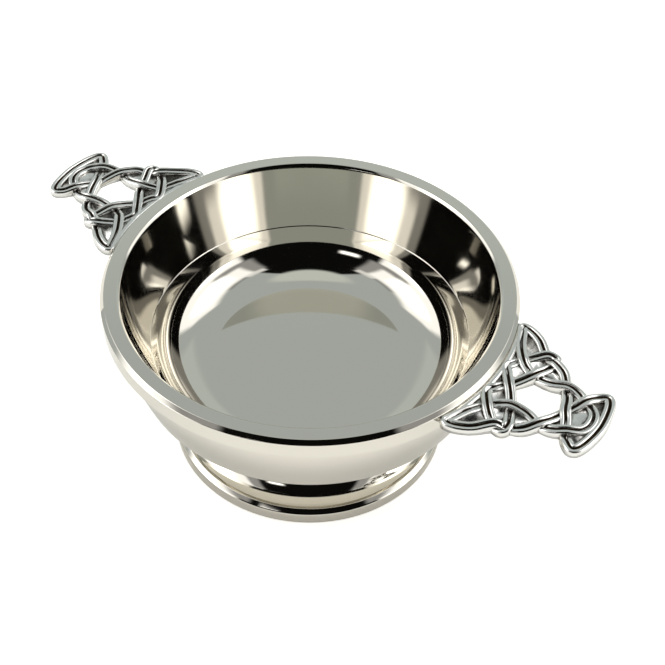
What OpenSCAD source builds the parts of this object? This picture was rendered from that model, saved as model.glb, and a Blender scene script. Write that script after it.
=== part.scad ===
// Quaich: a shallow two-handled drinking cup in polished pewter.
// A thick turned bowl carries an applied rim band and two cast lugs of pierced
// interlace, and stands on a coved foot with a plain wire round its base.
// Millimetres, +Z up, the lugs along X, the origin under the middle of the foot.

/* [Rim and bowl] */
// Outer diameter of the rim band
rim_d = 91.6; // [80:0.2:110]
// Height from the table to the rim
height = 44.5; // [40:0.1:60]
// Width of the flat face of the rim, band included
rim_face_w = 3.75; // [3:0.05:5]
// Bevel at the inner edge of the rim
lip_bevel = 0.5; // [0.2:0.05:0.8]
// Depth of the bowl inside
bowl_depth = 25.2; // [22:0.1:30]
// Thickness of the bowl's floor
floor_t = 3; // [2.2:0.1:4]
// Height of the inside step over the floor
step_rise = 10.6; // [8:0.1:13]
// Distance from the rim's outside to the top of the inside step
step_inset = 9.8; // [8.5:0.1:11]
// Width of the inside step
step_w = 1.1; // [0.6:0.05:1.6]
// Lean of the inside wall between the step and the floor
lower_lean = 0.8; // [0.2:0.1:1.5]
// Outward swell of the inside wall over the step
inner_swell = 0.4; // [0:0.05:0.6]
// Fillet between the inside wall and the floor
floor_fillet = 4.5; // [3:0.1:6]
// Distance from the rim's outside to the outside shoulder
shoulder_inset = 6.25; // [5:0.05:7.5]
// Height of the outside shoulder over the underside of the bowl
shoulder_rise = 7; // [5.5:0.1:9]
// Rounding of the outside shoulder
shoulder_r = 2.2; // [1:0.1:3]
// Outward swell of the outside wall
wall_swell = 0.7; // [0:0.05:1.2]
// Outward swell of the belly under the shoulder
belly_swell = 0.8; // [0:0.05:1.5]

/* [Rim band] */
// Radial thickness of the band
band_t = 1.8; // [1.2:0.05:2.4]
// Height of the band
band_h = 4.7; // [3.6:0.1:6]
// Rounding of the band's top edge
band_round = 0.8; // [0.3:0.05:1]

/* [Foot] */
// Diameter of the foot's waist
waist_d = 52; // [46:0.5:56]
// Diameter of the cove where it meets the base wire
cove_d = 60.6; // [58:0.2:66]
// Thickness of the foot's wall
foot_wall = 2.2; // [1.6:0.1:3]
// Radial thickness of the base wire
wire_t = 1.8; // [1.2:0.05:2.4]
// Height of the base wire
wire_h = 3.8; // [2.6:0.1:5]
// Rounding of the base wire's top edge
wire_round = 0.9; // [0.3:0.05:1.1]

/* [Lugs] */
// Reach of a lug beyond the rim band
lug_reach = 25.5; // [22:0.1:30]
// Width of a lug across its root
lug_span = 35; // [30:0.2:40]
// Thickness of a lug
lug_t = 2.3; // [1.9:0.05:3]
// Drop of the lug's top below the rim
lug_drop = 0.45; // [0.1:0.05:1]
// Width of a strand of the interlace
strand_w = 2.4; // [2:0.05:2.8]
// Width of the groove along a strand
groove_w = 0.7; // [0.5:0.02:0.9]
// Depth of the groove along a strand
groove_d = 0.7; // [0.4:0.05:0.9]
// Depth that a strand sinks where it passes under another
under_dip = 1; // [0.8:0.05:1.2]
// Thickness of the recessed ground that closes the small cells
ground_t = 1; // [0.7:0.05:1.2]
// Width of the root bar that follows the rim band
root_bar_w = 1.4; // [1:0.05:2]

/* [Fits] */
// Solder gap between neighbouring pieces
solder_gap = 0.05; // [0.02:0.01:0.1]

/* [Hidden] */

$fn = 180;
arc_steps = 8;
spline_steps = 3;

rim_r = rim_d / 2;
seat_r = rim_r - band_t;
lip_r = rim_r - rim_face_w;
underside_z = height - bowl_depth - floor_t;
floor_z = height - bowl_depth;
shoulder_point = [rim_r - shoulder_inset, underside_z + shoulder_rise];
band_bottom_z = height - band_h;

waist_r = waist_d / 2;
cove_r = cove_d / 2;
foot_top_z = underside_z - solder_gap;
collar_w = 1.6;
collar_h = 1;
seat_margin = 1.2;
belly_lean = 60;
foot_seat_r = waist_r + collar_w + seat_margin;

lug_top_z = height - lug_drop;
lug_bottom_z = lug_top_z - lug_t;
lug_root_r = rim_r + solder_gap;
strand_round = strand_w / 8;
ground_back = 0.2;
knuckle_sides = 12;
root_bar_links = 12;

// The knot is drawn on a chart that reaches 25.5 beyond the band and spans 35.
// Each point is [reach, side, level]: level 1 passes over, -1 passes under.
// A run starts at its second point and stops at its last but one: the two end
// points only give its direction.
chart_reach = 25.5;
chart_span = 35;

// Inner strand, from the middle of the fan to the root corner
inner_run = [
    [21.6, -2.7, 0], [22.4, 0, 0], [21.6, 2.7, 0], [19.05, 4.7, -1], [16.6, 5.9, 0], [14, 5.95, 1],
    [10.7, 5, 0], [7.15, 5.15, -1], [4.7, 6.1, 0], [2.9, 7.6, 1], [0.6, 11.1, 0],
    [-0.9, 16, 0], [-1.5, 17.8, 0]
];
// Edge strand, from the root corner, over the waist, round the far corner of the fan
edge_run = [
    [-2.2, 16.6, 0], [-0.9, 16, 0], [1.3, 15.9, 0], [3.5, 14.5, 0], [6.7, 11.4, -1], [9.1, 10.25, 1],
    [11.8, 9, 0], [14, 5.95, -1], [15.5, 3.1, 0], [16.6, 0, 1], [17.8, -2.1, 0], [19.05, -4.7, -1],
    [20.6, -7, 0], [22.4, -8, 0], [23.7, -5.5, 0], [24.4, 0, 0], [23.7, 5.5, 0]
];
// Ring strand, from its root turn out to its tip
ring_out_run = [
    [2.1, 2.4, 0], [1.1, 4.3, 0], [2.9, 7.6, -1], [4.8, 9.8, 0], [6.7, 11.4, 1], [8.6, 11.7, 0],
    [10.5, 12, 0]
];
// Ring strand, from its tip back across the middle to the other root turn
ring_back_run = [
    [8.8, 13.2, 0], [8.6, 11.7, 0], [9.1, 10.25, -1], [8.4, 8.2, 0], [7.15, 5.15, 1], [5.5, 2.4, 0],
    [3.7, 0, -1], [2.1, -2.4, 0], [1.1, -4.3, 0], [2.9, -7.6, 0]
];

// Half of the ground's edge, under the outer strands, and half of the middle piercing's edge
ground_half = [
    [-3.2, 15.5], [-0.7, 15.8], [1.2, 15.7], [3.3, 14.3], [6.5, 11.3], [8.4, 11.4], [9.3, 10],
    [11.5, 8.8], [13.8, 6.1], [16.5, 5.7], [18.9, 4.9], [20.7, 6.8], [22.2, 7.7], [23.5, 5.4], [24.2, 1.4]
];
piercing_half = [
    [3.6, 0.3], [5.3, 2.6], [7, 5.3], [10.6, 5.2], [14.1, 5.8], [15.7, 3.2], [16.7, 0.3]
];

function both_sides(half) = concat(half, [for (i = [len(half) - 1:-1:0]) [half[i][0], -half[i][1]]]);
function flipped(run) = [for (p = run) [p[0], -p[1], -p[2]]];
function placed(run) = [
    for (p = run) [
        rim_r + p[0] * lug_reach / chart_reach,
        p[1] * lug_span / chart_span,
        lug_top_z - under_dip * (1 - p[2]) / 2
    ]
];

// Points on an arc about a centre, both angles included
function arc(centre, r, from, to) = [
    for (i = [0:arc_steps])
        let (a = from + (to - from) * i / arc_steps)
        centre + r * [cos(a), sin(a)]
];

// Points on a curve from one end to the other, pulled towards a third point
function bent(a, pull, b) = [
    for (i = [0:arc_steps])
        let (t = i / arc_steps)
        a * (1 - t) * (1 - t) + pull * 2 * t * (1 - t) + b * t * t
];

// Smooth curve through the points of a run
function spline(p, q, r, s, t) =
    (2 * q + (r - p) * t + (2 * p - 5 * q + 4 * r - s) * t * t + (3 * q - p - 3 * r + s) * t * t * t) / 2;
function smoothed(run) = let (spans = len(run) - 3) [
    for (i = [0:spans * spline_steps])
        let (k = min(floor(i / spline_steps), spans - 1))
        spline(run[k], run[k + 1], run[k + 2], run[k + 3], i / spline_steps - k)
];

// Sideways direction of a curve at one of its points
function sideways(curve, i) =
    let (d = curve[min(i + 1, len(curve) - 1)] - curve[max(i - 1, 0)])
    [-d[1], d[0]] / norm([d[0], d[1]]);

// Section across a strand as [side, height] pairs: flat back, rounded edges, central groove
function strand_section(top) = [
    [strand_w / 2, lug_bottom_z], [strand_w / 2, top - strand_round], [strand_w / 2 - strand_round, top],
    [groove_w / 2, top], [0, top - groove_d], [-groove_w / 2, top],
    [strand_round - strand_w / 2, top], [-strand_w / 2, top - strand_round], [-strand_w / 2, lug_bottom_z]
];

// A grooved strand along one run of the knot
module strand(run) {
    curve = smoothed(placed(run));
    last = len(curve) - 1;
    count = len(strand_section(0));
    points = [
        for (i = [0:last])
            let (p = curve[i], n = sideways(curve, i))
            for (s = strand_section(p[2])) [p[0] + n[0] * s[0], p[1] + n[1] * s[0], s[1]]
    ];
    walls = [
        for (i = [0:last - 1], k = [0:count - 1])
            let (a = i * count + k, b = i * count + (k + 1) % count)
            each [[a, b + count, b], [a, a + count, b + count]]
    ];
    ends = [
        [for (k = [0:count - 1]) k],
        [for (k = [count - 1:-1:0]) last * count + k]
    ];
    polyhedron(points, concat(walls, ends));
}

// Rounded knuckle where two runs meet at a point
module knuckle(point) {
    p = placed([point])[0];
    translate([p[0], p[1], lug_bottom_z])
        cylinder(d = strand_w, h = p[2] - lug_bottom_z - strand_round, $fn = knuckle_sides);
}

// Recessed ground behind the strands, pierced in the middle of the knot
module ground() {
    translate([rim_r, 0, lug_bottom_z + ground_back])
        scale([lug_reach / chart_reach, lug_span / chart_span, 1])
            linear_extrude(ground_t)
                difference() {
                    polygon(both_sides(ground_half));
                    polygon(both_sides(piercing_half));
                }
}

// Bar along the rim band that ties the strands together at the root
module root_bar() {
    half_angle = asin((lug_span - strand_w) / rim_d);
    bar_h = lug_t - under_dip;
    for (i = [0:root_bar_links - 1])
        hull()
            for (k = [i, i + 1])
                rotate(half_angle * (2 * k / root_bar_links - 1))
                    translate([rim_r, 0, lug_bottom_z + bar_h / 2])
                        cube([2 * root_bar_w, root_bar_w / 2, bar_h], center = true);
}

module lug() {
    cut_margin = 1;
    difference() {
        union() {
            for (run = [inner_run, edge_run, ring_out_run, ring_back_run]) {
                strand(run);
                strand(flipped(run));
            }
            for (point = [edge_run[1], ring_back_run[1]]) {
                knuckle(point);
                knuckle(flipped([point])[0]);
            }
            ground();
            root_bar();
        }
        translate([0, 0, lug_bottom_z - cut_margin])
            cylinder(r = lug_root_r, h = lug_t + 2 * cut_margin);
    }
}

module bowl_outside() {
    wall_top = [seat_r, band_bottom_z];
    wall_run = wall_top - shoulder_point;
    wall_lean = atan2(wall_run[0], wall_run[1]);
    centre = shoulder_point - shoulder_r * [cos(wall_lean), -sin(wall_lean)];
    belly_top = centre + shoulder_r * [cos(belly_lean), -sin(belly_lean)];
    seat_edge = [foot_seat_r, underside_z];
    belly_pull = (seat_edge + belly_top) / 2 + belly_swell * [cos(belly_lean), -sin(belly_lean)];
    wall_pull = (wall_top + shoulder_point) / 2 + [wall_swell, 0];
    rotate_extrude()
        polygon(concat(
            [[0, underside_z]],
            bent(seat_edge, belly_pull, belly_top),
            arc(centre, shoulder_r, -belly_lean, -wall_lean),
            bent(shoulder_point, wall_pull, wall_top),
            [[seat_r, height], [0, height]]
        ));
}

module bowl_inside() {
    above = 1;
    step_top = [rim_r - step_inset, floor_z + step_rise];
    step_foot = step_top - [step_w, step_w];
    wall_foot = [step_foot[0] - lower_lean, floor_z + floor_fillet];
    bevel_foot = [lip_r - lip_bevel, height - lip_bevel];
    wall_pull = (step_top + bevel_foot) / 2 + [inner_swell, 0];
    rotate_extrude()
        polygon(concat(
            [[0, floor_z]],
            arc(wall_foot - [floor_fillet, 0], floor_fillet, -90, 0),
            [step_foot],
            bent(step_top, wall_pull, bevel_foot),
            [[lip_r, height], [lip_r, height + above], [0, height + above]]
        ));
}

module bowl() {
    color("silver")
        difference() {
            bowl_outside();
            bowl_inside();
        }
}

module rim_band() {
    inner_r = seat_r + solder_gap;
    corner = [rim_r - band_round, height - band_round];
    color("lightgray")
        rotate_extrude()
            polygon(concat(
                [[inner_r, band_bottom_z], [rim_r, band_bottom_z]],
                arc(corner, band_round, 0, 90),
                [[inner_r, height]]
            ));
}

module foot() {
    collar_r = waist_r + collar_w;
    waist = [waist_r, foot_top_z - collar_h];
    flare = [cove_r, wire_h];
    cove_pull = [waist_r, wire_h + wire_h / 2];
    color("darkgray")
        rotate_extrude()
            polygon(concat(
                [[waist_r - foot_wall, foot_top_z], [collar_r, foot_top_z], [collar_r, waist[1]]],
                bent(waist, cove_pull, flare),
                [[cove_r, 0], [cove_r - foot_wall, 0]],
                bent(flare - [foot_wall, 0], cove_pull - [foot_wall, 0], waist - [foot_wall, 0])
            ));
}

module base_wire() {
    inner_r = cove_r + solder_gap;
    outer_r = cove_r + wire_t;
    color("gainsboro")
        rotate_extrude()
            polygon(concat(
                [[inner_r, 0], [outer_r, 0]],
                arc([outer_r - wire_round, wire_h - wire_round], wire_round, 0, 90),
                [[inner_r, wire_h]]
            ));
}

module lug_right() {
    color("lightsteelblue") lug();
}

module lug_left() {
    color("lightsteelblue") rotate(180) lug();
}

bowl();
rim_band();
foot();
base_wire();
lug_right();
lug_left();
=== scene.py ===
import math

import bmesh
import bpy
from mathutils import Matrix, Vector


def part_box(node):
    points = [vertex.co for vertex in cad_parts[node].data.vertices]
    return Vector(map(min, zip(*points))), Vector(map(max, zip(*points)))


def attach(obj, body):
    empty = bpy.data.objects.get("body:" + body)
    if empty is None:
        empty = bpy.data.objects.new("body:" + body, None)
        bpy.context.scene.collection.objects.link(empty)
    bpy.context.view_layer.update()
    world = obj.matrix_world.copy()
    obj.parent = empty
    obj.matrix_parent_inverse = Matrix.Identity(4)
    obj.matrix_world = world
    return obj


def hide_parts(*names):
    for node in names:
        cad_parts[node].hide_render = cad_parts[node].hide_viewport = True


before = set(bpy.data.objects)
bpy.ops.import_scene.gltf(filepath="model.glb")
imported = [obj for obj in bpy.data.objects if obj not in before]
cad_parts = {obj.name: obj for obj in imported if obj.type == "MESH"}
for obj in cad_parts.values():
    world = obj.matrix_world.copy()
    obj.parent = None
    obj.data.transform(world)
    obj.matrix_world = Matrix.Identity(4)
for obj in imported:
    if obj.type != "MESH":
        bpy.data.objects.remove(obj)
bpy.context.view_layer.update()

# Sizes are in millimetres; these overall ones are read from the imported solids
MM = 0.001
RIM_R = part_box("rim_band")[1].y / MM
RIM_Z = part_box("rim_band")[1].z / MM
BAND_FOOT_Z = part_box("rim_band")[0].z / MM
UNDERSIDE_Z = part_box("bowl")[0].z / MM
FOOT_TOP_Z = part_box("foot")[1].z / MM
WIRE_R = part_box("base_wire")[1].y / MM
WIRE_TOP_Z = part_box("base_wire")[1].z / MM
LUG_TOP_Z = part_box("lug_right")[1].z / MM
LUG_BACK_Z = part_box("lug_right")[0].z / MM

# Rim and rim band
BAND_T = 1.8
BAND_BEVEL = 0.9
BAND_UNDER_ROUND = 0.25
RIM_FACE_W = 3.75
LIP_BEVEL = 0.5
LIP_ROUND = 0.1
CRISP_ROUND = 0.12

# Inside of the bowl, from the floor up
BOWL_DEPTH = 25.2
FLOOR_Z = RIM_Z - BOWL_DEPTH
FLOOR_CURVE = 12.5
LOWER_LEAN = math.radians(22)
STEP_H = 10.6
STEP_INSET = 9.8
STEP_W = 0.12
STEP_ROUND = 0.05
STEP_TOP = (RIM_R - STEP_INSET, FLOOR_Z + STEP_H)
INNER_SWELL = 0.4

# Outside of the bowl
SHOULDER_INSET = 6.25
SHOULDER_H = 7.0
SHOULDER = (RIM_R - SHOULDER_INSET, UNDERSIDE_Z + SHOULDER_H)
SHOULDER_ROUND = 1.1
WALL_SWELL = 0.7
BELLY_SWELL = 0.8
FOOT_SEAT_R = 27.6

# Foot and its wire
WAIST_R = 24.8
COLLAR_W = 1.6
COLLAR_H = 1.0
COVE_R = 30.3
COVE_ROUND = 7.4
FOOT_WALL = 2.2
FOOT_EDGE_ROUND = 0.3
WIRE_BEVEL = 1.1
WIRE_EDGE_ROUND = 0.5
WIRE_UNDER_ROUND = 0.2

# Lugs; the flanks' drop reaches past the flat back, which stops it
STRAND_W = 2.4
UNDER_DIP = 1.0
FLANK_DROP = -10
GROUND_T = 1.0
GROUND_BACK = 0.2
ROOT_BAR_W = 1.4
ROOT_HALF_W = 17.5
ROOT_BAR_DIP = 0.7

# How far the parts of a lug are rubbed bright, from 0 to 1
FLANK_RUBBED = 0.45
GROUND_RUBBED = 0.5
ROOT_BAR_RUBBED = 0.6

# Fineness of the meshes
TURNING_STEPS = 288
ROUND_SEGMENTS = 6
CURVE_STEPS = 24
SPAN_STEPS = 7
ROOT_BAR_STEPS = 48
WELD = 0.001
SHARP_ANGLE = math.radians(32)


def linear(hex_colour):
    """An sRGB hex colour as linear red, green, blue and alpha."""
    channels = [int(hex_colour[i:i + 2], 16) / 255 for i in (1, 3, 5)]
    return [c / 12.92 if c <= 0.04045 else ((c + 0.055) / 1.055) ** 2.4 for c in channels] + [1.0]


def node(tree, kind, inputs=None, **settings):
    """Adds a shader node with its settings, and sets or links its inputs."""
    made = tree.nodes.new("ShaderNode" + kind)
    for key, value in settings.items():
        setattr(made, key, value)
    for key, value in (inputs or {}).items():
        if isinstance(value, bpy.types.NodeSocket):
            tree.links.new(value, made.inputs[key])
        else:
            made.inputs[key].default_value = value
    return made


def figure(tree, operation, *values):
    """The result of one sum on shader values."""
    return node(tree, "Math", dict(enumerate(values)), operation=operation).outputs["Value"]


def ramp(tree, value, span=(0.0, 1.0), reach=(0.0, 1.0), curve="LINEAR"):
    """A shader value that runs over a span, carried over to a reach and held at its ends."""
    limits = {"From Min": span[0], "From Max": span[1], "To Min": reach[0], "To Max": reach[1]}
    return node(tree, "MapRange", {"Value": value, **limits}, interpolation_type=curve).outputs["Result"]


def mixed(tree, share, first, second):
    """The first colour with a share of the second."""
    return node(tree, "Mix", {0: share, 6: first, 7: second}, data_type="RGBA").outputs[2]


def noise(tree, size, detail):
    """Noise fixed to the piece, with spots of about one size."""
    place = node(tree, "TexCoord").outputs["Object"]
    made = node(tree, "TexNoise", {"Vector": place, "Scale": 1 / (size * MM), "Detail": detail})
    return made.outputs["Fac"]


def new_material(name):
    """An empty material and its node tree."""
    made = bpy.data.materials.new(name)
    made.use_nodes = True
    made.node_tree.nodes.clear()
    return made, made.node_tree


def metal(tree, colour, rough, bump):
    """The bare metal that ends a material's tree."""
    shader = node(tree, "BsdfPrincipled", {"Base Color": colour, "Metallic": 1.0, "Roughness": rough,
                                           "Normal": bump.outputs["Normal"]})
    node(tree, "OutputMaterial", {"Surface": shader.outputs["BSDF"]})


# Polished pewter
POLISHED = "#d6d2c8"
HAZE_SIZE = 9
HAZE_SPAN = (0.3, 0.75)
HAZE_ROUGHNESS = (0.03, 0.075)
SWELL_SIZE = 22
SWELL_H = 0.6
SWELL_STRENGTH = 0.05


def polished_pewter():
    """Pewter, turned and buffed: a warm pale grey mirror with a faint haze and soft unevenness."""
    material, tree = new_material("polished_pewter")
    rough = ramp(tree, noise(tree, HAZE_SIZE, 4.0), HAZE_SPAN, HAZE_ROUGHNESS)
    bump = node(tree, "Bump", {"Height": noise(tree, SWELL_SIZE, 1.0), "Strength": SWELL_STRENGTH,
                               "Distance": SWELL_H * MM})
    metal(tree, linear(POLISHED), rough, bump)
    return material


# Oxidised pewter
RIDGE_BRIGHT = "#dfdeda"
OXIDE_BLACK = "#0d0c0a"
OXIDE_BROWN = "#54432f"
RUBBED_SPAN = (0.8, 1.35)
RUBBED_ROUGHNESS = (0.5, 0.2)
HOLLOW_REACH = 1.6
GRAIN_SIZE = 0.6
GRAIN_SHARE = 0.3
GRAIN_H = 0.05
GRAIN_STRENGTH = 0.12
BLOTCH_SIZE = 2.6
BLOTCH_SHARE = 0.5


def oxidised_pewter():
    """Cast pewter blackened in its hollows and rubbed back bright along its ridges."""
    material, tree = new_material("oxidised_cast_pewter")
    rubbed = node(tree, "Attribute", attribute_name="rubbed")
    openness = node(tree, "AmbientOcclusion", {"Distance": HOLLOW_REACH * MM}, samples=8, only_local=True)
    grain = noise(tree, GRAIN_SIZE, 2.0)
    blotches = noise(tree, BLOTCH_SIZE, 2.0)
    worn = figure(tree, "ADD", rubbed.outputs["Fac"], openness.outputs["AO"])
    for texture, share in ((grain, GRAIN_SHARE), (blotches, BLOTCH_SHARE)):
        worn = figure(tree, "ADD", worn, ramp(tree, texture, reach=(-share, share)))
    bright = ramp(tree, worn, RUBBED_SPAN, curve="SMOOTHSTEP")
    oxide = mixed(tree, blotches, linear(OXIDE_BLACK), linear(OXIDE_BROWN))
    colour = mixed(tree, bright, oxide, linear(RIDGE_BRIGHT))
    rough = ramp(tree, bright, reach=RUBBED_ROUGHNESS)
    bump = node(tree, "Bump", {"Height": grain, "Strength": GRAIN_STRENGTH, "Distance": GRAIN_H * MM})
    metal(tree, colour, rough, bump)
    return material


def new_piece(name, bm, material, replaced):
    """A finished mesh as a named piece that stands for one CAD node."""
    mesh = bpy.data.meshes.new(name)
    bm.to_mesh(mesh)
    bm.free()
    mesh.materials.append(material)
    mesh.polygons.foreach_set("use_smooth", [True] * len(mesh.polygons))
    piece = bpy.data.objects.new(name, mesh)
    bpy.context.scene.collection.objects.link(piece)
    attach(piece, "root")
    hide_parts(replaced)
    return piece


def pushed_middle(a, b, out, up=0):
    """The middle between two outline points, pushed outwards and upwards."""
    return ((a[0] + b[0]) / 2 + out, (a[1] + b[1]) / 2 + up)


def bent(start, pull, end):
    """Points on a curve from start to end, drawn towards pull, each with no rounding of its own."""
    points = []
    for i in range(CURVE_STEPS + 1):
        t = i / CURVE_STEPS
        a, b, c = (1 - t) ** 2, 2 * t * (1 - t), t ** 2
        points.append((a * start[0] + b * pull[0] + c * end[0], a * start[1] + b * pull[1] + c * end[1], 0))
    return points


def arc(centre, radius, start, end):
    """Points on an arc about a centre, each with no rounding of its own."""
    angles = [start + (end - start) * i / CURVE_STEPS for i in range(CURVE_STEPS + 1)]
    return [(centre[0] + radius * math.cos(a), centre[1] + radius * math.sin(a), 0) for a in angles]


def turned(name, outline, material, closed, replaced):
    """A turned piece: an outline of (radius, height, rounding) points spun about the cup's axis."""
    bm = bmesh.new()
    corners = [bm.verts.new((r * MM, 0, z * MM)) for r, z, _ in outline]
    for a, b in zip(corners, corners[1:] + corners[:1] if closed else corners[1:]):
        bm.edges.new((a, b))
    for corner, (_, _, rounding) in zip(corners, outline):
        if rounding:
            bmesh.ops.bevel(bm, geom=[corner], offset=rounding * MM, offset_type="OFFSET",
                            segments=ROUND_SEGMENTS, profile=0.5, affect="VERTICES", material=-1)
    bmesh.ops.spin(bm, geom=bm.verts[:] + bm.edges[:], cent=(0, 0, 0), axis=(0, 0, 1),
                   angle=2 * math.pi, steps=TURNING_STEPS, use_merge=True)
    bmesh.ops.remove_doubles(bm, verts=bm.verts, dist=WELD * MM)
    bmesh.ops.recalc_face_normals(bm, faces=bm.faces)
    for edge in bm.edges:
        edge.smooth = edge.calc_face_angle(0) < SHARP_ANGLE
    piece = new_piece(name, bm, material, replaced)
    weighted = piece.modifiers.new("flat_faces_stay_flat", "WEIGHTED_NORMAL")
    weighted.keep_sharp = True
    return piece


def bowl(material):
    """The turned bowl: flat rim, tapered wall, a fine step, a curved-in floor and a shouldered outside."""
    lip_r = RIM_R - RIM_FACE_W
    seat_r = RIM_R - BAND_T
    bevel_foot = (lip_r - LIP_BEVEL, RIM_Z - LIP_BEVEL)
    step_foot = (STEP_TOP[0] - STEP_W, STEP_TOP[1] - STEP_W)
    curve_z = FLOOR_Z + FLOOR_CURVE
    curve_reach = (FLOOR_CURVE - (curve_z - step_foot[1]) * math.sin(LOWER_LEAN)) / math.cos(LOWER_LEAN)
    wall_top = (seat_r, BAND_FOOT_Z)
    foot_seat = (FOOT_SEAT_R, UNDERSIDE_Z)
    inner_mid = pushed_middle(STEP_TOP, bevel_foot, INNER_SWELL)
    wall_mid = pushed_middle(wall_top, SHOULDER, WALL_SWELL)
    belly_mid = pushed_middle(SHOULDER, foot_seat, BELLY_SWELL / 2, -BELLY_SWELL)
    outline = [(0, FLOOR_Z, 0)]
    outline += arc((step_foot[0] - curve_reach, curve_z), FLOOR_CURVE, -math.pi / 2, -LOWER_LEAN)
    outline += [(*step_foot, STEP_ROUND), (*STEP_TOP, STEP_ROUND)]
    outline += bent(STEP_TOP, inner_mid, bevel_foot)[1:-1]
    outline += [(*bevel_foot, LIP_ROUND), (lip_r, RIM_Z, CRISP_ROUND), (seat_r, RIM_Z, 0)]
    outline += bent(wall_top, wall_mid, SHOULDER)[:-1]
    outline += [(*SHOULDER, SHOULDER_ROUND)]
    outline += bent(SHOULDER, belly_mid, foot_seat)[1:]
    outline += [(0, UNDERSIDE_Z, 0)]
    return turned("bowl_turned", outline, material, False, "bowl")


def rim_band(material):
    """The upright band round the rim, bevelled at its top edge and eased underneath."""
    seat_r = RIM_R - BAND_T
    outline = [(seat_r, BAND_FOOT_Z, 0), (RIM_R, BAND_FOOT_Z, BAND_UNDER_ROUND)]
    outline += [(RIM_R, RIM_Z - BAND_BEVEL, CRISP_ROUND), (RIM_R - BAND_BEVEL, RIM_Z, CRISP_ROUND)]
    outline += [(seat_r, RIM_Z, 0)]
    return turned("rim_band_turned", outline, material, True, "rim_band")


def foot(material):
    """The coved foot, open underneath, with a narrow collar soldered to the bowl."""
    sweep = math.acos(1 - (COVE_R - WAIST_R) / COVE_ROUND)
    centre = (WAIST_R + COVE_ROUND, WIRE_TOP_Z + COVE_ROUND * math.sin(sweep))
    hollow_round = COVE_ROUND + FOOT_WALL
    hollow_sweep = math.acos((centre[0] - COVE_R + FOOT_WALL) / hollow_round)
    collar_z = FOOT_TOP_Z - COLLAR_H
    outline = [(WAIST_R - FOOT_WALL, FOOT_TOP_Z, 0), (WAIST_R + COLLAR_W, FOOT_TOP_Z, 0)]
    outline += [(WAIST_R + COLLAR_W, collar_z, FOOT_EDGE_ROUND), (WAIST_R, collar_z, FOOT_EDGE_ROUND)]
    outline += arc(centre, COVE_ROUND, math.pi, math.pi + sweep)
    outline += [(COVE_R, 0, 0), (COVE_R - FOOT_WALL, 0, FOOT_EDGE_ROUND)]
    outline += arc(centre, hollow_round, math.pi + hollow_sweep, math.pi)
    return turned("foot_turned", outline, material, True, "foot")


def base_wire(material):
    """The plain wire round the bottom of the foot, bevelled at its top edge."""
    outline = [(COVE_R, 0, 0), (WIRE_R, 0, WIRE_UNDER_ROUND)]
    outline += [(WIRE_R, WIRE_TOP_Z - WIRE_BEVEL, WIRE_EDGE_ROUND)]
    outline += [(WIRE_R - WIRE_BEVEL, WIRE_TOP_Z, CRISP_ROUND), (COVE_R, WIRE_TOP_Z, 0)]
    return turned("base_wire_turned", outline, material, True, "base_wire")


# Chart of the interlace: [reach beyond the band, side, level], level 1 over and -1 under
EDGE_HALF = [
    [22.4, 0, 0], [21.6, 2.7, 0], [19.05, 4.7, -1], [16.6, 5.9, 0], [14, 5.95, 1],
    [10.7, 5, 0], [7.15, 5.15, -1], [4.7, 6.1, 0], [2.9, 7.6, 1], [0.6, 11.1, 0],
    [-1.1, 14.8, 0], [-1.6, 16, 0], [-0.9, 16.3, 0], [0.9, 15.9, 0],
    [3.5, 14.4, 0], [6.7, 11.4, -1], [9.1, 10.25, 1], [11.8, 9, 0], [14, 5.95, -1],
    [15.5, 3.1, 0], [16.6, 0, 1], [17.8, -2.1, 0], [19.05, -4.7, -1], [20.6, -7, 0],
    [22.4, -8, 0], [23.7, -5.5, 0], [24.4, 0, 0],
]
RING_HALF = [
    [1.1, 4.3, 0], [2.9, 7.6, -1], [4.8, 9.8, 0], [6.7, 11.4, 1], [8.6, 11.7, 0],
    [9.1, 10.25, -1], [8.4, 8.2, 0], [7.15, 5.15, 1], [5.5, 2.4, 0],
    [3.7, 0, -1], [2.1, -2.4, 0],
]

# Half of a strand's section as (side, height below the ridge, how far the ridge is rubbed bright)
HALF_SECTION = [
    (0.0, -0.7, 0.0), (0.14, -0.6, 0.0), (0.27, -0.25, 0.2), (0.38, -0.1, 0.9), (0.52, -0.02, 1.0),
    (0.66, 0.0, 1.0), (0.82, -0.02, 1.0), (0.98, -0.09, 1.0), (1.1, -0.21, 0.9), (1.2, -0.42, 0.6),
]

# Half of the recessed ground's edge, under the outer strands, and of the middle piercing's edge
GROUND_HALF = [
    [-3.6, 15.8], [-1.4, 16.1], [0.8, 15.9], [3.3, 14.3], [6.5, 11.3], [8.4, 11.4], [9.3, 10],
    [11.5, 8.8], [13.8, 6.1], [16.5, 5.7], [18.9, 4.9], [20.7, 6.8], [22.2, 7.7], [23.5, 5.4], [24.2, 1.4],
]
PIERCING_HALF = [[3.6, 0.3], [5.3, 2.6], [7, 5.3], [10.6, 5.2], [14.1, 5.8], [15.7, 3.2], [16.7, 0.3]]


def flipped(route):
    """A route mirrored across the lug's middle, with its overs and unders swapped."""
    return [[reach, -side, -level] for reach, side, level in route]


def smooth_route(route):
    """A smooth closed curve through a route's points, as vectors in millimetres."""
    knots = [Vector((RIM_R + reach, side, LUG_TOP_Z - UNDER_DIP * (1 - level) / 2))
             for reach, side, level in route]
    count = len(knots)
    curve = []
    for i in range(count):
        p, q, r, s = (knots[(i + k) % count] for k in (-1, 0, 1, 2))
        for step in range(SPAN_STEPS):
            t = step / SPAN_STEPS
            curve.append((2 * q + (r - p) * t + (2 * p - 5 * q + 4 * r - s) * t ** 2
                          + (3 * q - p - 3 * r + s) * t ** 3) / 2)
    return curve


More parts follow.
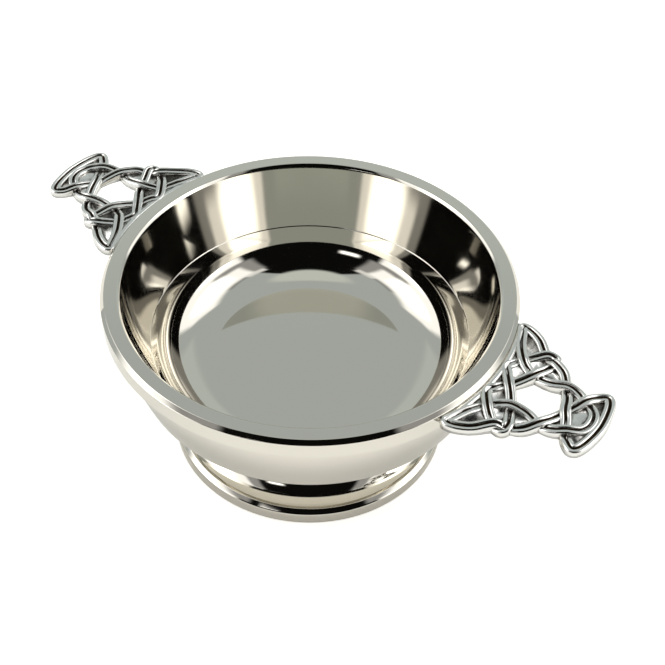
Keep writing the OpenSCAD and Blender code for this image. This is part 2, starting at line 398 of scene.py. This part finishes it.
def strand(bm, route):
    """A grooved strand with a flat back, extruded ring by ring round its closed route."""
    side_of = bm.verts.layers.float["side"]
    drop_of = bm.verts.layers.float["drop"]
    rubbed_of = bm.verts.layers.float["rubbed"]
    curve = smooth_route(route)

    def place(verts, i):
        """Sets one ring of the strand square to its route."""
        ahead = curve[(i + 1) % len(curve)] - curve[i - 1]
        across = Vector((-ahead.y, ahead.x, 0)).normalized()
        for v in verts:
            spot = curve[i] + across * v[side_of]
            spot.z = max(curve[i].z + v[drop_of], LUG_BACK_Z)
            v.co = spot * MM

    section = [(-s, d, r) for s, d, r in reversed(HALF_SECTION[1:])] + HALF_SECTION
    section.insert(0, (-STRAND_W / 2, FLANK_DROP, FLANK_RUBBED))
    section.append((STRAND_W / 2, FLANK_DROP, FLANK_RUBBED))
    ring = []
    for side, drop, rubbed in section:
        v = bm.verts.new()
        v[side_of], v[drop_of], v[rubbed_of] = side, drop, rubbed
        ring.append(v)
    edges = [bm.edges.new((a, b)) for a, b in zip(ring, ring[1:] + ring[:1])]
    first = edges
    place(ring, 0)
    for i in range(1, len(curve)):
        grown = bmesh.ops.extrude_edge_only(bm, edges=edges)["geom"]
        edges = [g for g in grown if isinstance(g, bmesh.types.BMEdge)]
        place([g for g in grown if isinstance(g, bmesh.types.BMVert)], i)
    bmesh.ops.bridge_loops(bm, edges=first + edges)


def ground(bm):
    """The recessed ground behind the strands, pierced in the middle of the knot."""
    rubbed_of = bm.verts.layers.float["rubbed"]
    edges = []
    for half in (GROUND_HALF, PIERCING_HALF):
        loop = half + [[reach, -side] for reach, side in reversed(half)]
        verts = [bm.verts.new(((RIM_R + reach) * MM, side * MM, (LUG_BACK_Z + GROUND_BACK) * MM))
                 for reach, side in loop]
        edges += [bm.edges.new((a, b)) for a, b in zip(verts, verts[1:] + verts[:1])]
    filled = bmesh.ops.triangle_fill(bm, edges=edges, use_beauty=True, normal=(0, 0, 1))["geom"]
    faces = [g for g in filled if isinstance(g, bmesh.types.BMFace)]
    grown = bmesh.ops.extrude_face_region(bm, geom=faces, use_keep_orig=True)["geom"]
    raised = [g for g in grown if isinstance(g, bmesh.types.BMVert)]
    bmesh.ops.translate(bm, verts=raised, vec=(0, 0, GROUND_T * MM))
    for v in raised:
        v[rubbed_of] = GROUND_RUBBED


def root_bar(bm):
    """The bar along the band that ties the strands together."""
    rubbed_of = bm.verts.layers.float["rubbed"]
    half_angle = math.asin((ROOT_HALF_W - STRAND_W / 2) / RIM_R)
    front = RIM_R + ROOT_BAR_W
    top = LUG_TOP_Z - ROOT_BAR_DIP * UNDER_DIP
    profile = [(RIM_R, LUG_BACK_Z), (front, LUG_BACK_Z), (front, top), (RIM_R, top)]
    corners = [bm.verts.new((r * MM, 0, z * MM)) for r, z in profile]
    for corner in corners:
        corner[rubbed_of] = ROOT_BAR_RUBBED
    face = bm.faces.new(corners)
    bmesh.ops.rotate(bm, verts=corners, cent=(0, 0, 0), matrix=Matrix.Rotation(-half_angle, 3, "Z"))
    bmesh.ops.spin(bm, geom=[face], cent=(0, 0, 0), axis=(0, 0, 1), angle=2 * half_angle,
                   steps=ROOT_BAR_STEPS)


def lug(name, turn, material, replaced):
    """One cast lug: two closed strands woven through each other, a pierced ground and a root bar."""
    bm = bmesh.new()
    for layer in ("side", "drop", "rubbed"):
        bm.verts.layers.float.new(layer)
    strand(bm, EDGE_HALF + flipped(EDGE_HALF)[-2:0:-1])
    strand(bm, RING_HALF + flipped(RING_HALF))
    ground(bm)
    root_bar(bm)
    bmesh.ops.recalc_face_normals(bm, faces=bm.faces)
    bmesh.ops.rotate(bm, verts=bm.verts, cent=(0, 0, 0), matrix=Matrix.Rotation(turn, 3, "Z"))
    return new_piece(name, bm, material, replaced)


# Camera, measured from the middle of the rim's top
CAMERA_TURN = math.radians(34.7)
CAMERA_RISE = math.radians(42.97)
CAMERA_DISTANCE = 277.7
CAMERA_ROLL = math.radians(1.73)
AIM_RIGHT = 5.08
AIM_DROP = 15.7
FILM_W = 36
LENS = 68.67
NEAREST_SEEN = 10


def camera():
    """The camera at the photograph's angle."""
    turn = Matrix.Rotation(CAMERA_TURN, 3, "Z")
    middle = Vector((0, 0, RIM_Z))
    seat = Vector((0, -math.cos(CAMERA_RISE), math.sin(CAMERA_RISE))) * CAMERA_DISTANCE
    eye = middle + turn @ seat
    aim = middle + turn @ Vector((AIM_RIGHT, 0, -AIM_DROP))
    ahead = (aim - eye).normalized()
    facing = ahead.to_track_quat("-Z", "Y").to_matrix() @ Matrix.Rotation(CAMERA_ROLL, 3, "Z")
    made = bpy.data.objects.new("camera", bpy.data.cameras.new("camera"))
    bpy.context.scene.collection.objects.link(made)
    made.matrix_world = Matrix.Translation(eye * MM) @ facing.to_4x4()
    made.data.sensor_width = FILM_W
    made.data.lens = LENS
    made.data.clip_start = NEAREST_SEEN * MM
    bpy.context.scene.camera = made


# Studio, each patch as (bearing from the camera's side, rise, softness, colour, strength), in degrees
WHITE = "#ffffff"
ROOM_GREY = "#bfc6c6"
ROOM_DARK = "#0e0e0d"
PANELS = {
    "room behind the cup": ((97, 190), (-6, 95), 3, ROOM_GREY, 1.0),
    "paler wall straight behind": ((140, 190), (-6, 42), 4, "#cdd5d3", 1.0),
    "ceiling": ((58, 190), (58, 95), 3, ROOM_GREY, 1.0),
    "pale middle of the ceiling": ((-10, 190), (77, 95), 3, "#dce2de", 1.0),
    "low panel": ((52, 97), (-5, 28), 3, WHITE, 1.5),
    "dim panel over it": ((45, 82), (28, 56), 3, WHITE, 0.4),
    "strip along the dim panel's top": ((48, 70), (55, 61), 2, WHITE, 1.0),
    "high panel": ((58, 125), (35, 56), 3, WHITE, 1.5),
    "panel further back": ((80, 125), (13, 42), 3, WHITE, 1.5),
    "hot middle of the low panel": ((62, 90), (-5, 18), 8, WHITE, 4.0),
    "hot middle of the high panel": ((75, 114), (34, 48), 6, WHITE, 4.0),
}
# The one lamp, to the camera's left
LAMP = ((-36, -22), (27, 32), 3, WHITE, 3.0)


def patch_of_light(tree, bearing, rise, behind, patch):
    """One soft-edged patch of light laid over what is behind it."""
    sides, heights, softness, colour, strength = patch
    mask = 1.0
    for value, (low, high) in ((bearing, sides), (rise, heights)):
        for edge, sign in ((low, 1), (high, -1)):
            span = (math.radians(edge - sign * softness), math.radians(edge + sign * softness))
            mask = figure(tree, "MULTIPLY", mask, ramp(tree, value, span, curve="SMOOTHSTEP"))
    glow = [strength * c for c in linear(colour)[:3]] + [1.0]
    return mixed(tree, mask, behind, glow)


def studio():
    """Soft panels either side of the camera, a grey room behind, one lamp and dark elsewhere."""
    world = bpy.data.worlds.new("studio")
    world.use_nodes = True
    bpy.context.scene.world = world
    tree = world.node_tree
    tree.nodes.clear()
    look = node(tree, "TexCoord").outputs["Generated"]
    turned_look = node(tree, "Mapping", {"Vector": look, "Rotation": (0, 0, -CAMERA_TURN)},
                       vector_type="NORMAL")
    axes = node(tree, "SeparateXYZ", {"Vector": turned_look.outputs["Vector"]}).outputs
    bearing = figure(tree, "ARCTAN2", axes["X"], figure(tree, "MULTIPLY", axes["Y"], -1.0))
    either_side = figure(tree, "ABSOLUTE", bearing)
    rise = figure(tree, "ARCSINE", axes["Z"])
    light = linear(ROOM_DARK)
    for patch in PANELS.values():
        light = patch_of_light(tree, either_side, rise, light, patch)
    light = patch_of_light(tree, bearing, rise, light, LAMP)
    seen = mixed(tree, node(tree, "LightPath").outputs["Is Camera Ray"], light, linear(WHITE))
    glow = node(tree, "Background", {"Color": seen, "Strength": 1.0})
    node(tree, "OutputWorld", {"Surface": glow.outputs["Background"]})


# Floor, with the share of its glow that mirrors show near the cup and further off; the smaller share near
# the cup is a painted shadow
PAPER = "#f4f3f0"
PAPER_GLOW = "#f6f4f0"
PAPER_R = 3000
PAPER_STEPS = 96
CAMERA_SHARE = 0.65
# Where and how far the painted shadow dims the glow that mirrors see
PAINTED_SHADOW_SPAN = (42, 56)
PAINTED_SHADOW_SHARE = (0.12, 0.5)


def paper_with_painted_shadow():
    """Pale paper that the camera sees as white, with a painted shadow close to the cup: mirrors see its
    glow dimmed there.
    """
    material, tree = new_material("paper_with_painted_shadow")
    path = node(tree, "LightPath").outputs
    place = node(tree, "TexCoord").outputs["Object"]
    away = node(tree, "VectorMath", {0: place}, operation="LENGTH").outputs["Value"]
    # Painted shadow: the glow that mirrors see is dimmed close to the cup.
    painted_shadow_falloff = ramp(tree, away, [r * MM for r in PAINTED_SHADOW_SPAN], PAINTED_SHADOW_SHARE, "SMOOTHSTEP")
    mirrored = figure(tree, "MAXIMUM", path["Is Glossy Ray"], path["Is Transmission Ray"])
    mirrored = figure(tree, "MULTIPLY", mirrored, painted_shadow_falloff)
    seen = figure(tree, "MULTIPLY_ADD", path["Is Camera Ray"], CAMERA_SHARE, mirrored)
    glow = node(tree, "Emission", {"Color": linear(PAPER_GLOW), "Strength": seen})
    paper = node(tree, "BsdfDiffuse", {"Color": linear(PAPER)})
    both = node(tree, "AddShader", {0: glow.outputs["Emission"], 1: paper.outputs["BSDF"]})
    node(tree, "OutputMaterial", {"Surface": both.outputs["Shader"]})
    return material


def floor():
    """A round sheet of paper under the cup, which keeps a soft shadow, and in mirrors also a painted shadow
    close to the cup.
    """
    bm = bmesh.new()
    bmesh.ops.create_circle(bm, cap_ends=True, segments=PAPER_STEPS, radius=PAPER_R * MM)
    mesh = bpy.data.meshes.new("floor")
    bm.to_mesh(mesh)
    bm.free()
    mesh.materials.append(paper_with_painted_shadow())
    made = bpy.data.objects.new("floor", mesh)
    bpy.context.scene.collection.objects.link(made)


bpy.context.scene.view_settings.view_transform = "Standard"
camera()
studio()
floor()
pewter = polished_pewter()
cast = oxidised_pewter()
bowl(pewter)
rim_band(pewter)
foot(pewter)
base_wire(pewter)
lug("lug_right_cast", 0.0, cast, "lug_right")
lug("lug_left_cast", math.pi, cast, "lug_left")
